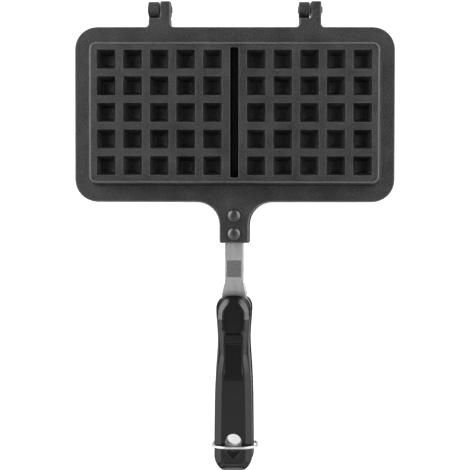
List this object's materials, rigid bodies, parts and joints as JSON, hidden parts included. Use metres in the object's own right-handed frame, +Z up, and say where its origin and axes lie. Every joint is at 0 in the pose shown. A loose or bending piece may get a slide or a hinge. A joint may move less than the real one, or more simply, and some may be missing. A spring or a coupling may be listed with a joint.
{
  "type": "stovetop waffle iron",
  "caption": "Hinged stovetop waffle iron: twin cast non-stick pans with square pockets, riveted steel straps, black moulded grips and a wire bail that locks the grips together.",
  "frame": {"origin": "under the middle of the whole iron, on the plane that the lower pan's outer face rests on", "axes": "+Z up; +Y towards the hinge, so the grips point to -Y; +X to the right seen from the grips"},
  "size_m": [0.2412, 0.3544, 0.0369],
  "materials": {
    "coated_aluminium": "satin non-stick coating",
    "grip_phenolic": "glossy moulded phenolic",
    "strap_steel": "brushed along its length",
    "rivet_metal": "satin",
    "wire_steel": "bright drawn wire",
    "pin_steel": "plain steel",
    "insert_brass": "machined"
  },
  "bodies": {
    "lower": {"lower_pan": "coated_aluminium", "lower_strap": "strap_steel", "lower_grip": "grip_phenolic", "lower_front_rivet": "rivet_metal", "lower_rear_rivet": "rivet_metal", "lower_grip_screw": "pin_steel", "lower_grip_insert": "insert_brass", "left_hinge_pin": "pin_steel", "right_hinge_pin": "pin_steel"},
    "upper": {"upper_pan": "coated_aluminium", "upper_strap": "strap_steel", "upper_grip": "grip_phenolic", "upper_front_rivet": "rivet_metal", "upper_rear_rivet": "rivet_metal", "upper_grip_screw": "pin_steel", "upper_grip_insert": "insert_brass"},
    "bail": {"locking_bail": "wire_steel"}
  },
  "joints": [
    {"name": "hinge", "type": "hinge", "parent": "lower", "child": "upper", "pos_m": [0, 0.17122, 0.017], "axis": [-1, 0, 0], "range_deg": [0, 180]},
    {"name": "bail_pivot", "type": "hinge", "parent": "lower", "child": "bail", "pos_m": [0.0005, -0.15812, 0.011], "axis": [1, 0, 0], "range_deg": [0, 119]}
  ]
}
